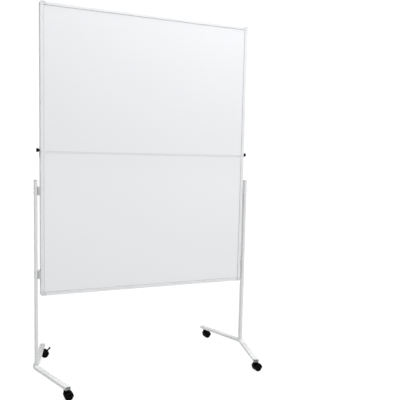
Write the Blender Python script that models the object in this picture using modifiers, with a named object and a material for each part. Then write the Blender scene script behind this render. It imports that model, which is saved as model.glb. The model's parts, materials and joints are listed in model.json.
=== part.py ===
"""A rolling whiteboard that folds in half: two framed panels on slim posts, V feet and twin-wheel castors.

Metres, +Z up, +X along the board's width, the front writing face towards -Y, the floor at Z = 0.
Each object is one physical piece. Pieces that move hang from an empty on their joint's axis.
"""

import math

import bmesh
import bpy
from mathutils import Matrix, Vector

# Driving dimensions of the board.
BOARD_WIDTH = 1.200
BOARD_HEIGHT = 1.500
BOARD_BOTTOM = 0.450
FRAME_DEPTH = 0.030
RAIL_FACE = 0.018
RAIL_WALL = 0.0016
RAIL_ROUND = 0.003
LIP = 0.0026
LIP_ROUND = 0.001
FOLD_GAP = 0.001
TRIM_FACE = 0.004
TRIM_PROUD = 0.0004
TRIM_ROUND = 0.0006
SHEET = 0.0006
CORE_INSET = 0.008
GAP = 0.0003

# Corner caps, as lengths along the horizontal and the vertical rail.
CORNER_ALONG = 0.029
CORNER_UP = 0.021
CORNER_RADIUS = 0.009
CORNER_WALL = 0.0018
CAP_ROUND = 0.001

# Fold hinges, on the back of the side rails.
LEAF = 0.0016
LEAF_WIDTH = 0.014
LEAF_HEIGHT = 0.038
KNUCKLE_RADIUS = 0.0032
KNUCKLE_HALF = 0.003
KNUCKLE_CLEARANCE = 0.0005
NECK_OVERLAP = 0.002
HINGE_PIN_RADIUS = 0.0015
PIN_PAST_LEAF = 0.0007
PIN_HEAD = 0.001
PIN_HEAD_RADIUS = 0.0026

# Fold locks, on the outside of the side rails.
LOCK_RISE = 0.009
LOCK_PLATE = 0.0015
LOCK_PLATE_HALF = 0.008
LOCK_PLATE_DROP = 0.028
LOCK_FINGER_RISE = 0.004
STUD_RADIUS = 0.0026
STUD_INSIDE = 0.006
STUD_CLEARANCE = 0.0006
KNOB_RADIUS = 0.0097
KNOB_LOBE = 0.0009
KNOB_LOBES = 5
KNOB_LOBE_STEPS = 8
KNOB_HEAD = 0.0095
KNOB_ROUND = 0.0016
KNOB_NECK = 0.006
KNOB_NECK_NARROW = 0.0055
KNOB_NECK_WIDE = 0.0078

# Posts and the brackets that hold the lower half of the board.
POST_WIDTH = 0.016
POST_DEPTH = 0.024
POST_GAP = 0.014
POST_TOP = 1.0543
POST_ROUND = 0.0035
TUBE_WALL = 0.0015
POST_CAP = 0.003
PLUG_DEPTH = 0.012
BRACKET_HEIGHT = 0.046
BRACKET_FRONT = -0.0155
BRACKET_BACK = 0.011
BRACKET_SLANT = 0.009
BRACKET_CENTRES = {"upper": 1.000, "lower": 0.562}

# V feet.
FOOT_WIDTH = 0.028
FOOT_HEIGHT = 0.016
FOOT_BOTTOM = 0.058
FOOT_VERTEX_OUT = 0.005
FOOT_SWEEP = math.radians(16.4)
FOOT_ARM = 0.345
FOOT_BEND = 0.060
FOOT_ROUND = 0.0025
END_CAP = 0.003
END_PLUG = 0.010

# Castors. Local X is the way they trail.
CASTER_FROM_END = 0.023
FIT = 0.0004
TRAIL = 0.014
WHEEL_SIDES = 24
AXLE_HEIGHT = 0.021
WHEEL_RADIUS = AXLE_HEIGHT / math.cos(math.pi / WHEEL_SIDES)
WHEEL_INNER = 0.0053
WHEEL_OUTER = 0.020
TREAD_ROUND = 0.002
TREAD_DEPTH = 0.0062
DISH_DEPTH = 0.0018
HUB_RADIUS = 0.006
WEB_HALF = 0.0046
FENDER_INNER = 0.022
FENDER_OUTER = 0.0246
FENDER_HALF = 0.021
FENDER_ENDS = (-8, 172)
FENDER_STEPS = 14
WEB_OVERLAP = 0.0006
WEB_LOWER_RADIUS = 0.012
NECK_HALF = 0.009
AXLE_RADIUS = 0.003
AXLE_INSET = 0.0015
STEM_RADIUS = 0.004
BOSS_RADIUS = 0.0095
BOSS_BOTTOM = 0.0422
BOSS_TOP = 0.0558
STEM_BOTTOM = 0.0494
STEM_BELOW_TOP = 0.004
LEVER_ANGLE = math.radians(45)
LEVER_FROM_AXLE = 0.025
LEVER_LENGTH = 0.022
LEVER_THICK = 0.0034
LEVER_HUB_RADIUS = 0.0032
LEVER_HUB_HALF = 0.005
LEVER_ARM_HALF = 0.0046
LEVER_PIN_RADIUS = 0.0015
PEDAL_LENGTH = 0.012
PEDAL_HALF = 0.0075
PEDAL_ROUND = 0.001
SLOT_HALF = 0.0055
SLOT_FROM = (0.0245, 0.028)
SLOT_TO = (0.045, 0.050)
EAR_RADIUS = 0.0034
EAR_HALF = 0.0014
EAR_MIDDLE = 0.0072

HALF_WIDTH = BOARD_WIDTH / 2
HALF_DEPTH = FRAME_DEPTH / 2
BOARD_TOP = BOARD_BOTTOM + BOARD_HEIGHT
FOLD_Z = (BOARD_BOTTOM + BOARD_TOP) / 2
CHANNEL_HALF = HALF_DEPTH - LIP
HINGE_Y = HALF_DEPTH + GAP + KNUCKLE_RADIUS
POST_X = HALF_WIDTH + POST_GAP + POST_WIDTH / 2
FOOT_TOP = FOOT_BOTTOM + FOOT_HEIGHT
FOOT_VERTEX_X = POST_X + FOOT_VERTEX_OUT
SIDES = {"left": -1, "right": 1}
ENDS = {"front": -1, "back": 1}
BRAKED = ("back",)

ALUMINIUM = ((0.78, 0.79, 0.80), 0.38, 0.85)
STEEL_GREY = ((0.70, 0.71, 0.72), 0.42, 0.35)
WHITE_SHEET = ((0.93, 0.935, 0.945), 0.16, 0.0)
CORE_BROWN = ((0.62, 0.50, 0.36), 0.90, 0.0)
CAP_GREY = ((0.55, 0.56, 0.57), 0.50, 0.0)
END_GREY = ((0.26, 0.27, 0.28), 0.50, 0.0)
BLACK = ((0.015, 0.015, 0.016), 0.42, 0.0)
TREAD = ((0.020, 0.020, 0.021), 0.62, 0.0)
ZINC = ((0.62, 0.63, 0.65), 0.30, 0.95)


def clear_scene():
    for obj in list(bpy.data.objects):
        bpy.data.objects.remove(obj, do_unlink=True)


def new_collection(name):
    made = bpy.data.collections.new(name)
    bpy.context.scene.collection.children.link(made)
    return made


clear_scene()
PARTS = new_collection("rolling_whiteboard")
CUTTERS = new_collection("cutters")


def material(name, look):
    colour, roughness, metallic = look
    made = bpy.data.materials.new(name)
    made.use_nodes = True
    shader = made.node_tree.nodes["Principled BSDF"]
    shader.inputs["Base Color"].default_value = (*colour, 1.0)
    shader.inputs["Roughness"].default_value = roughness
    shader.inputs["Metallic"].default_value = metallic
    return made


def empty(name, place, parent=None):
    made = bpy.data.objects.new(name, None)
    made.empty_display_size = 0.02
    PARTS.objects.link(made)
    made.parent = parent
    made.location = place
    return made


def object_of(name, bm, look, place=(0, 0, 0), parent=None, turn=0.0):
    """The piece as an object of its own, with its own material. Without a look it is a helper."""
    bmesh.ops.recalc_face_normals(bm, faces=bm.faces)
    mesh = bpy.data.meshes.new(name)
    bm.to_mesh(mesh)
    bm.free()
    made = bpy.data.objects.new(name, mesh)
    made.parent = parent
    made.location = place
    made.rotation_euler.z = turn
    if look:
        PARTS.objects.link(made)
        mesh.materials.append(material(name, look))
    else:
        CUTTERS.objects.link(made)
        made.hide_render = True
        made.display_type = "WIRE"
    return made


def fillet(points, radii, steps=3):
    """The outline with each corner of a radius above 0 turned into an arc."""
    outline = []
    for i, (corner, radius) in enumerate(zip(points, radii)):
        corner = Vector(corner)
        before = (Vector(points[i - 1]) - corner).normalized()
        after = (Vector(points[(i + 1) % len(points)]) - corner).normalized()
        if radius == 0:
            outline.append(tuple(corner))
            continue
        half = before.angle(after) / 2
        centre = corner + (before + after).normalized() * radius / math.sin(half)
        start = corner + before * radius / math.tan(half) - centre
        end = corner + after * radius / math.tan(half) - centre
        sweep = start.angle_signed(end)
        for step in range(steps + 1):
            spoke = start.copy()
            spoke.rotate(Matrix.Rotation(-sweep * step / steps, 2))
            outline.append(tuple(centre + spoke))
    return outline


def tube_outline(width, height, radius, inset):
    """A rounded rectangle, moved inwards by the inset, with corners that keep the same centre."""
    a = width / 2 - inset
    b = height / 2 - inset
    return fillet([(-a, -b), (a, -b), (a, b), (-a, b)], [radius - inset] * 4)


def arc(centre, radius, start, end, steps):
    """Points on an arc, angles in degrees."""
    angles = [math.radians(start + (end - start) * i / steps) for i in range(steps + 1)]
    return [(centre[0] + radius * math.cos(a), centre[1] + radius * math.sin(a)) for a in angles]


def prism(outline, axis, low, high):
    """A flat outline drawn out along an axis. The outline's pair is YZ for X, XZ for Y, XY for Z."""
    bm = bmesh.new()
    place = {
        "X": lambda a, b: (low, a, b),
        "Y": lambda a, b: (a, low, b),
        "Z": lambda a, b: (a, b, low),
    }[axis]
    face = bm.faces.new([bm.verts.new(place(a, b)) for a, b in outline])
    drawn = bmesh.ops.extrude_face_region(bm, geom=[face])
    along = {"X": (1, 0, 0), "Y": (0, 1, 0), "Z": (0, 0, 1)}[axis]
    moved = [item for item in drawn["geom"] if isinstance(item, bmesh.types.BMVert)]
    bmesh.ops.translate(bm, verts=moved, vec=Vector(along) * (high - low))
    return bm


def box(low, high):
    bm = bmesh.new()
    low = Vector(low)
    high = Vector(high)
    bmesh.ops.create_cube(bm, size=1.0)
    bmesh.ops.scale(bm, vec=high - low, verts=bm.verts)
    bmesh.ops.translate(bm, vec=(high + low) / 2, verts=bm.verts)
    return bm


def cylinder(centre, axis, radius, half_length, sides=20, end_radius=None):
    """A cylinder, or a cone whose far end has its own radius."""
    bm = bmesh.new()
    bmesh.ops.create_cone(
        bm,
        cap_ends=True,
        segments=sides,
        radius1=radius,
        radius2=radius if end_radius is None else end_radius,
        depth=2 * half_length,
    )
    turn = {"X": (math.pi / 2, "Y"), "Y": (-math.pi / 2, "X"), "Z": (0.0, "Z")}[axis]
    bmesh.ops.rotate(bm, verts=bm.verts, matrix=Matrix.Rotation(turn[0], 3, turn[1]))
    bmesh.ops.translate(bm, verts=bm.verts, vec=centre)
    return bm


def turned(name, profile, axis, steps, look, place, parent, closed=True, flip=False):
    """A lathe shape: (radius, along) points turned about the axis with a Screw modifier."""
    bm = bmesh.new()
    if axis == "Y":
        points = [(radius, along, 0.0) for radius, along in profile]
    else:
        points = [(radius, 0.0, along) for radius, along in profile]
    verts = [bm.verts.new(point) for point in points]
    last = len(verts) if closed else len(verts) - 1
    for i in range(last):
        bm.edges.new((verts[i], verts[(i + 1) % len(verts)]))
    made = object_of(name, bm, look, place, parent)
    screw = made.modifiers.new("Turn", "SCREW")
    screw.axis = axis
    screw.steps = steps
    screw.render_steps = steps
    screw.use_merge_vertices = True
    screw.merge_threshold = 0.00001
    screw.use_normal_calculate = True
    screw.use_normal_flip = flip
    return made


def combine(made, helpers, operation):
    for helper in helpers:
        step = made.modifiers.new(operation.title(), "BOOLEAN")
        step.operation = operation
        step.solver = "EXACT"
        step.object = helper
    return made


def cut(made, *helpers):
    return combine(made, helpers, "DIFFERENCE")


def join(made, *helpers):
    return combine(made, helpers, "UNION")


def round_edges(made, width, segments=2, angle=50):
    step = made.modifiers.new("Round", "BEVEL")
    step.width = width
    step.segments = segments
    step.limit_method = "ANGLE"
    step.angle_limit = math.radians(angle)
    step.use_clamp_overlap = True
    return made


def helper(name, bm, place=(0, 0, 0), parent=None, turn=0.0):
    return object_of(name + "_helper", bm, None, place, parent, turn)


# ---------------------------------------------------------------- the two halves of the board


def channel_outline():
    """Half-section of a frame rail: (inwards from the outer edge, depth), a C that grips the core."""
    points = [
        (0, -HALF_DEPTH),
        (RAIL_FACE, -HALF_DEPTH),
        (RAIL_FACE, -CHANNEL_HALF),
        (RAIL_WALL, -CHANNEL_HALF),
        (RAIL_WALL, CHANNEL_HALF),
        (RAIL_FACE, CHANNEL_HALF),
        (RAIL_FACE, HALF_DEPTH),
        (0, HALF_DEPTH),
    ]
    return fillet(points, [RAIL_ROUND, LIP_ROUND, 0, 0, 0, 0, LIP_ROUND, RAIL_ROUND])


def side_rail(half, outer_z, fold_edge, side_name, parent):
    side = SIDES[side_name]
    outline = [(side * (HALF_WIDTH - s), y) for s, y in channel_outline()]
    way = 1 if fold_edge > outer_z else -1
    ends = sorted((outer_z + way * (CORNER_UP + GAP), fold_edge))
    name = f"{half}_{side_name}_rail"
    rail = object_of(name, prism(outline, "Z", *ends), ALUMINIUM, parent=parent)
    if half == "upper":
        middle = (side * HALF_WIDTH, 0, FOLD_Z + LOCK_RISE)
        hole = cylinder(middle, "X", STUD_RADIUS + STUD_CLEARANCE, 2 * RAIL_WALL)
        cut(rail, helper(name + "_stud_hole", hole))
    return rail


def outer_rail(half, outer_z, way, parent):
    """The horizontal rail at the top of the upper half, or at the bottom of the lower half."""
    outline = [(y, outer_z + way * s) for s, y in channel_outline()]
    reach = HALF_WIDTH - CORNER_ALONG - GAP
    name = "upper_top_rail" if half == "upper" else "lower_bottom_rail"
    return object_of(name, prism(outline, "X", -reach, reach), ALUMINIUM, parent=parent)


def corner_cap(half, outer_z, way, side_name, parent):
    """A rounded L that joins two rails, hollow for the core's corner."""
    side = SIDES[side_name]
    points = [
        (0, 0),
        (CORNER_ALONG, 0),
        (CORNER_ALONG, RAIL_FACE),
        (RAIL_FACE, RAIL_FACE),
        (RAIL_FACE, CORNER_UP),
        (0, CORNER_UP),
    ]
    corners = fillet(points, [CORNER_RADIUS, 0, 0, 0, 0, 0], steps=6)
    outline = [(side * (HALF_WIDTH - s), outer_z + way * t) for s, t in corners]
    name = f"{half}_corner_{side_name}"
    cap = object_of(name, prism(outline, "Y", -HALF_DEPTH, HALF_DEPTH), CAP_GREY, parent=parent)
    round_edges(cap, CAP_ROUND)
    past = 2 * CORNER_ALONG
    reach = sorted((side * (HALF_WIDTH - CORNER_WALL), side * (HALF_WIDTH - past)))
    rise = sorted((outer_z + way * CORNER_WALL, outer_z + way * past))
    pocket = box((reach[0], -CHANNEL_HALF, rise[0]), (reach[1], CHANNEL_HALF, rise[1]))
    return cut(cap, helper(name + "_pocket", pocket))


def panel(half, outer_z, way, fold_edge, parent):
    """The light core, its two steel writing sheets, and the slim trim along the fold."""
    trim_edge = fold_edge - way * TRIM_FACE
    inner_edge = trim_edge - way * GAP
    core_half = HALF_WIDTH - CORE_INSET
    core_depth = CHANNEL_HALF - GAP
    core_z = sorted((outer_z + way * CORE_INSET, inner_edge))
    core = box((-core_half, -core_depth, core_z[0]), (core_half, core_depth, core_z[1]))
    object_of(f"{half}_core", core, CORE_BROWN, parent=parent)
    sheet_half = HALF_WIDTH - RAIL_FACE - GAP
    sheet_z = sorted((outer_z + way * (RAIL_FACE + GAP), inner_edge))
    for name, facing in ENDS.items():
        depths = sorted((facing * CHANNEL_HALF, facing * (CHANNEL_HALF + SHEET)))
        sheet = box((-sheet_half, depths[0], sheet_z[0]), (sheet_half, depths[1], sheet_z[1]))
        object_of(f"{half}_sheet_{name}", sheet, WHITE_SHEET, parent=parent)
    trim_z = sorted((trim_edge, fold_edge))
    trim_depth = CHANNEL_HALF + SHEET + TRIM_PROUD
    trim = box((-sheet_half, -trim_depth, trim_z[0]), (sheet_half, trim_depth, trim_z[1]))
    round_edges(object_of(f"{half}_fold_trim", trim, ALUMINIUM, parent=parent), TRIM_ROUND)


def board_half(half, parent):
    """way points from the half's outer edge to the fold."""
    way = -1 if half == "upper" else 1
    outer_z = BOARD_TOP if half == "upper" else BOARD_BOTTOM
    fold_edge = FOLD_Z - way * FOLD_GAP / 2
    panel(half, outer_z, way, fold_edge, parent)
    outer_rail(half, outer_z, way, parent)
    for side_name in SIDES:
        side_rail(half, outer_z, fold_edge, side_name, parent)
        corner_cap(half, outer_z, way, side_name, parent)


# ---------------------------------------------------------------- fold hinges and fold locks


def hinge_leaf(side_name, half, centre_x, spans, parent):
    """A leaf on the rail's back, with its knuckles over the given spans along the pin."""
    way = 1 if half == "upper" else -1
    name = f"hinge_{side_name}_{half}_leaf"
    back = HALF_DEPTH + GAP
    clear = KNUCKLE_RADIUS + KNUCKLE_CLEARANCE
    rise = sorted((FOLD_Z + way * clear, FOLD_Z + way * LEAF_HEIGHT))
    half_width = LEAF_WIDTH / 2
    plate = box(
        (centre_x - half_width, back, rise[0]), (centre_x + half_width, back + LEAF, rise[1])
    )
    leaf = object_of(name, plate, ZINC, parent=parent)
    for i, (low, high) in enumerate(spans):
        neck_z = sorted((FOLD_Z, FOLD_Z + way * (clear + NECK_OVERLAP)))
        neck = box((centre_x + low, back, neck_z[0]), (centre_x + high, back + LEAF, neck_z[1]))
        middle = (centre_x + (low + high) / 2, HINGE_Y, FOLD_Z)
        knuckle = cylinder(middle, "X", KNUCKLE_RADIUS, (high - low) / 2, sides=16)
        join(leaf, helper(f"{name}_neck_{i}", neck), helper(f"{name}_knuckle_{i}", knuckle))
    bore = cylinder((centre_x, HINGE_Y, FOLD_Z), "X", HINGE_PIN_RADIUS + GAP, LEAF_WIDTH, sides=16)
    return cut(leaf, helper(name + "_bore", bore))


def hinge(side_name, fold_axis):
    side = SIDES[side_name]
    centre_x = side * (HALF_WIDTH - RAIL_FACE / 2)
    edge = LEAF_WIDTH / 2
    outer_spans = [(-edge, -KNUCKLE_HALF - GAP), (KNUCKLE_HALF + GAP, edge)]
    hinge_leaf(side_name, "lower", centre_x, outer_spans, None)
    hinge_leaf(side_name, "upper", centre_x, [(-KNUCKLE_HALF, KNUCKLE_HALF)], fold_axis)
    name = f"hinge_{side_name}_pin"
    middle = (centre_x, HINGE_Y, FOLD_Z)
    shank = cylinder(middle, "X", HINGE_PIN_RADIUS, edge + PIN_PAST_LEAF, sides=16)
    head_x = centre_x - side * (edge + GAP + PIN_HEAD / 2)
    head = cylinder((head_x, HINGE_Y, FOLD_Z), "X", PIN_HEAD_RADIUS, PIN_HEAD / 2, sides=16)
    join(object_of(name, shank, ZINC), helper(name + "_head", head))


def lock_plate(side_name):
    """A hook on the lower rail: its open notch takes the knob's stud, its finger stops it in front."""
    side = SIDES[side_name]
    reach = STUD_RADIUS + STUD_CLEARANCE
    bottom = FOLD_Z - LOCK_PLATE_DROP
    seat = FOLD_Z + LOCK_RISE - reach
    tip = FOLD_Z + LOCK_RISE + LOCK_FINGER_RISE
    points = [
        (-LOCK_PLATE_HALF, bottom),
        (LOCK_PLATE_HALF, bottom),
        (LOCK_PLATE_HALF, seat),
        (-reach, seat),
        (-reach, tip),
        (-LOCK_PLATE_HALF, tip),
    ]
    outline = fillet(points, [0.003, 0.003, 0.002, 0, 0.001, 0.002])
    faces = sorted((side * (HALF_WIDTH + GAP), side * (HALF_WIDTH + GAP + LOCK_PLATE)))
    object_of(f"lock_plate_{side_name}", prism(outline, "X", *faces), ZINC)


def lock_knob(side_name, fold_axis):
    """A lobed head on a tapering neck, with the stud that passes into the upper rail."""
    side = SIDES[side_name]
    name = f"lock_knob_{side_name}"
    neck_start = GAP + LOCK_PLATE + GAP
    head_start = neck_start + KNOB_NECK
    axis_place = Vector((side * HALF_WIDTH, 0, FOLD_Z + LOCK_RISE))
    pivot = empty(name + "_axis", axis_place - fold_axis.location, fold_axis)
    lobes = []
    steps = KNOB_LOBES * KNOB_LOBE_STEPS
    for i in range(steps):
        angle = 2 * math.pi * i / steps
        radius = KNOB_RADIUS + KNOB_LOBE * math.cos(KNOB_LOBES * angle)
        lobes.append((radius * math.sin(angle), radius * math.cos(angle)))
    reach = sorted((side * head_start, side * (head_start + KNOB_HEAD)))
    knob = object_of(name, prism(lobes, "X", *reach), BLACK, parent=pivot)
    round_edges(knob, KNOB_ROUND)
    radii = [KNOB_NECK_NARROW, KNOB_NECK_WIDE][::side]
    neck_end = head_start + KNOB_ROUND
    middle = side * (neck_start + neck_end) / 2
    neck = cylinder((middle, 0, 0), "X", radii[0], (neck_end - neck_start) / 2, 24, radii[1])
    stud_half = (head_start + STUD_INSIDE) / 2
    stud_middle = side * (head_start - stud_half)
    stud = cylinder((stud_middle, 0, 0), "X", STUD_RADIUS, stud_half, 16)
    join(knob, helper(name + "_neck", neck, parent=pivot), helper(name + "_stud", stud, parent=pivot))


# ---------------------------------------------------------------- posts and brackets


def post(side_name):
    place = (SIDES[side_name] * POST_X, 0, 0)
    name = f"post_{side_name}"
    outside = tube_outline(POST_WIDTH, POST_DEPTH, POST_ROUND, 0)
    inside = tube_outline(POST_WIDTH, POST_DEPTH, POST_ROUND, TUBE_WALL)
    plug_size = tube_outline(POST_WIDTH, POST_DEPTH, POST_ROUND, TUBE_WALL + GAP)
    bottom = FOOT_TOP + GAP
    tube = object_of(name, prism(outside, "Z", bottom, POST_TOP), STEEL_GREY, place)
    hollow = prism(inside, "Z", bottom - TUBE_WALL, POST_TOP + TUBE_WALL)
    cut(tube, helper(name + "_hollow", hollow, place))
    rim = POST_TOP + GAP
    cap_name = f"post_cap_{side_name}"
    cap = object_of(cap_name, prism(outside, "Z", rim, rim + POST_CAP), CAP_GREY, place)
    round_edges(cap, CAP_ROUND)
    plug = prism(plug_size, "Z", POST_TOP - PLUG_DEPTH, rim + POST_CAP / 2)
    join(cap, helper(cap_name + "_plug", plug, place))


def bracket(side_name, level):
    """A block between post and rail. Its lower front corner is cut away at a slant."""
    side = SIDES[side_name]
    centre = BRACKET_CENTRES[level]
    up = centre + BRACKET_HEIGHT / 2
    down = centre - BRACKET_HEIGHT / 2
    points = [
        (BRACKET_FRONT, up),
        (BRACKET_BACK, up),
        (BRACKET_BACK, down),
        (BRACKET_FRONT + BRACKET_SLANT, down),
        (BRACKET_FRONT, down + BRACKET_SLANT),
    ]
    outline = fillet(points, [0.003, 0.003, 0.002, 0.001, 0.001])
    reach = sorted((side * (HALF_WIDTH + GAP), side * (HALF_WIDTH + POST_GAP - GAP)))
    object_of(f"bracket_{side_name}_{level}", prism(outline, "X", *reach), CAP_GREY)


# ---------------------------------------------------------------- V feet


def arm_direction(side, end):
    """The way one arm of a foot runs, from the vertex towards its end."""
    return Vector((-side * math.sin(FOOT_SWEEP), end * math.cos(FOOT_SWEEP)))


def foot_outline(side, half_width, extra):
    """The bent tube seen from above. Both edges share the bend's centre."""
    vertex = Vector((side * FOOT_VERTEX_X, 0))
    centre = vertex - Vector((side * FOOT_BEND / math.cos(FOOT_SWEEP), 0))
    sweep = math.degrees(FOOT_SWEEP)
    middle = 0 if side > 0 else 180
    edges = []
    for offset in (half_width, -half_width):
        bend = arc(centre, FOOT_BEND + offset, middle - side * sweep, middle + side * sweep, 6)
        tips = []
        for end in (-1, 1):
            along = arm_direction(side, end)
            outwards = Vector((side * math.cos(FOOT_SWEEP), end * math.sin(FOOT_SWEEP)))
            tips.append(tuple(vertex + along * (FOOT_ARM + extra) + outwards * offset))
        edges.append([tips[0], *bend, tips[1]])
    return edges[0] + edges[1][::-1]


def foot(side_name):
    side = SIDES[side_name]
    name = f"foot_{side_name}"
    outline = foot_outline(side, FOOT_WIDTH / 2, 0)
    tube = object_of(name, prism(outline, "Z", FOOT_BOTTOM, FOOT_TOP), STEEL_GREY)
    round_edges(tube, FOOT_ROUND, angle=60)
    bore = foot_outline(side, FOOT_WIDTH / 2 - TUBE_WALL, FOOT_WIDTH)
    hollow = prism(bore, "Z", FOOT_BOTTOM + TUBE_WALL, FOOT_TOP - TUBE_WALL)
    cut(tube, helper(name + "_hollow", hollow))
    for end_name in ENDS:
        x, y = caster_place(side_name, end_name)
        hole = cylinder((x, y, FOOT_BOTTOM), "Z", STEM_RADIUS + FIT, 2 * TUBE_WALL)
        cut(tube, helper(f"{name}_{end_name}_hole", hole))


def end_cap(side_name, end_name):
    """A flange over the tube's end with a plug inside it, modelled along local Y."""
    side = SIDES[side_name]
    end = ENDS[end_name]
    along = arm_direction(side, end)
    tip = Vector((side * FOOT_VERTEX_X, 0)) + along * FOOT_ARM
    place = (tip.x, tip.y, FOOT_BOTTOM + FOOT_HEIGHT / 2)
    turn = math.atan2(along.y, along.x) - math.pi / 2
    name = f"foot_cap_{side_name}_{end_name}"
    rim = tube_outline(FOOT_WIDTH, FOOT_HEIGHT, FOOT_ROUND, 0)
    cap = object_of(name, prism(rim, "Y", GAP, GAP + END_CAP), END_GREY, place, turn=turn)
    round_edges(cap, CAP_ROUND)
    size = tube_outline(FOOT_WIDTH, FOOT_HEIGHT, FOOT_ROUND, TUBE_WALL + GAP)
    plug = prism(size, "Y", -END_PLUG, GAP + END_CAP / 2)
    join(cap, helper(name + "_plug", plug, place, turn=turn))


# ---------------------------------------------------------------- castors


def caster_place(side_name, end_name):
    side = SIDES[side_name]
    along = arm_direction(side, ENDS[end_name])
    spot = Vector((side * FOOT_VERTEX_X, 0)) + along * (FOOT_ARM - CASTER_FROM_END)
    return spot.x, spot.y


def caster_stem(name, place):
    """The fixed pin that is pressed into the foot, with the collar that the housing turns under."""
    collar_bottom = BOSS_TOP + GAP
    collar_top = FOOT_BOTTOM - GAP
    profile = [
        (0.0, STEM_BOTTOM),
        (STEM_RADIUS, STEM_BOTTOM),
        (STEM_RADIUS, collar_bottom),
        (2 * STEM_RADIUS, collar_bottom),
        (2 * STEM_RADIUS, collar_top),
        (STEM_RADIUS, collar_top),
        (STEM_RADIUS, FOOT_TOP - STEM_BELOW_TOP),
        (0.0, FOOT_TOP - STEM_BELOW_TOP),
    ]
    turned(name, profile, "Z", 20, ZINC, place, None, closed=False, flip=True)


def caster_housing(name, swivel, braked):
    axle = (TRAIL, AXLE_HEIGHT)
    first, last = FENDER_ENDS
    over = arc(axle, FENDER_OUTER, first, last, FENDER_STEPS)
    under = arc(axle, FENDER_INNER, last, first, FENDER_STEPS)
    housing = object_of(name, prism(over + under, "Y", -FENDER_HALF, FENDER_HALF), BLACK, parent=swivel)
    web = arc(axle, FENDER_INNER + WEB_OVERLAP, first, last, FENDER_STEPS)
    web += arc(axle, WEB_LOWER_RADIUS, last - first, 360 + 2 * first, 6)
    boss_half = (BOSS_TOP - BOSS_BOTTOM) / 2
    neck_top = BOSS_BOTTOM + boss_half / 2
    pieces = {
        "web": prism(web, "Y", -WEB_HALF, WEB_HALF),
        "neck": box((-NECK_HALF, -WEB_HALF, AXLE_HEIGHT), (NECK_HALF, WEB_HALF, neck_top)),
        "boss": cylinder((0, 0, BOSS_BOTTOM + boss_half), "Z", BOSS_RADIUS, boss_half),
        "axle": cylinder((TRAIL, 0, AXLE_HEIGHT), "Y", AXLE_RADIUS, WHEEL_OUTER - AXLE_INSET, 16),
    }
    for piece, bm in pieces.items():
        join(housing, helper(f"{name}_{piece}", bm, parent=swivel))
    bore = cylinder((0, 0, BOSS_TOP), "Z", STEM_RADIUS + FIT, BOSS_TOP - STEM_BOTTOM + GAP)
    cut(housing, helper(name + "_bore", bore, parent=swivel))
    if braked:
        lever_mounting(name, housing, swivel)


def lever_mounting(name, housing, swivel):
    """The slot in the hood that the brake lever works through, with its two ears and its pin."""
    hub_x, hub_z = lever_hub()
    slot = box((SLOT_FROM[0], -SLOT_HALF, SLOT_FROM[1]), (SLOT_TO[0], SLOT_HALF, SLOT_TO[1]))
    cut(housing, helper(name + "_slot", slot, parent=swivel))
    for way in (-1, 1):
        ear = cylinder((hub_x, way * EAR_MIDDLE, hub_z), "Y", EAR_RADIUS, EAR_HALF, 16)
        join(housing, helper(f"{name}_ear_{way}", ear, parent=swivel))
    pin = cylinder((hub_x, 0, hub_z), "Y", LEVER_PIN_RADIUS, EAR_MIDDLE, 12)
    join(housing, helper(name + "_lever_pin", pin, parent=swivel))


def wheel(name, swivel, way):
    """One of the twin wheels, dished on its outer face, turned about its own axle."""
    middle = (WHEEL_INNER + WHEEL_OUTER) / 2
    half = (WHEEL_OUTER - WHEEL_INNER) / 2
    bore = AXLE_RADIUS + GAP
    rim = WHEEL_RADIUS - TREAD_DEPTH
    profile = [
        (bore, -half),
        (WHEEL_RADIUS - TREAD_ROUND, -half),
        (WHEEL_RADIUS, TREAD_ROUND - half),
        (WHEEL_RADIUS, half - 2 * TREAD_ROUND),
        (WHEEL_RADIUS - 0.3 * TREAD_ROUND, half - 0.8 * TREAD_ROUND),
        (WHEEL_RADIUS - 1.5 * TREAD_ROUND, half),
        (rim + DISH_DEPTH, half),
        (rim, half - DISH_DEPTH),
        (HUB_RADIUS, half - DISH_DEPTH),
        (HUB_RADIUS, half - DISH_DEPTH / 2),
        (bore, half - DISH_DEPTH / 2),
    ]
    outline = [(radius, way * along) for radius, along in profile]
    hub = (TRAIL, way * middle, AXLE_HEIGHT)
    made = turned(name, outline, "Y", WHEEL_SIDES, TREAD, hub, swivel)
    made.rotation_euler.y = math.pi / WHEEL_SIDES
    return made


def lever_hub():
    reach = LEVER_FROM_AXLE
    return (TRAIL + reach * math.cos(LEVER_ANGLE), AXLE_HEIGHT + reach * math.sin(LEVER_ANGLE))


def brake_lever(name, swivel):
    """A foot pedal on its own pin. Local X runs along the pedal."""
    hub_x, hub_z = lever_hub()
    pivot = empty(name + "_axis", (hub_x, 0, hub_z), swivel)
    pivot.rotation_euler.y = -LEVER_ANGLE
    thick = LEVER_THICK / 2
    arm_thick = 0.9 * thick
    pedal_start = LEVER_LENGTH - PEDAL_LENGTH
    pedal = box((pedal_start, -PEDAL_HALF, -thick), (LEVER_LENGTH, PEDAL_HALF, thick))
    lever = round_edges(object_of(name, pedal, BLACK, parent=pivot), PEDAL_ROUND)
    arm_end = LEVER_LENGTH - PEDAL_LENGTH / 2
    arm = box((0, -LEVER_ARM_HALF, -arm_thick), (arm_end, LEVER_ARM_HALF, arm_thick))
    hub = cylinder((0, 0, 0), "Y", LEVER_HUB_RADIUS, LEVER_HUB_HALF, 16)
    bore = cylinder((0, 0, 0), "Y", LEVER_PIN_RADIUS + FIT, 2 * LEVER_HUB_HALF, 12)
    join(lever, helper(name + "_arm", arm, parent=pivot), helper(name + "_hub", hub, parent=pivot))
    cut(lever, helper(name + "_bore", bore, parent=pivot))


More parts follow.
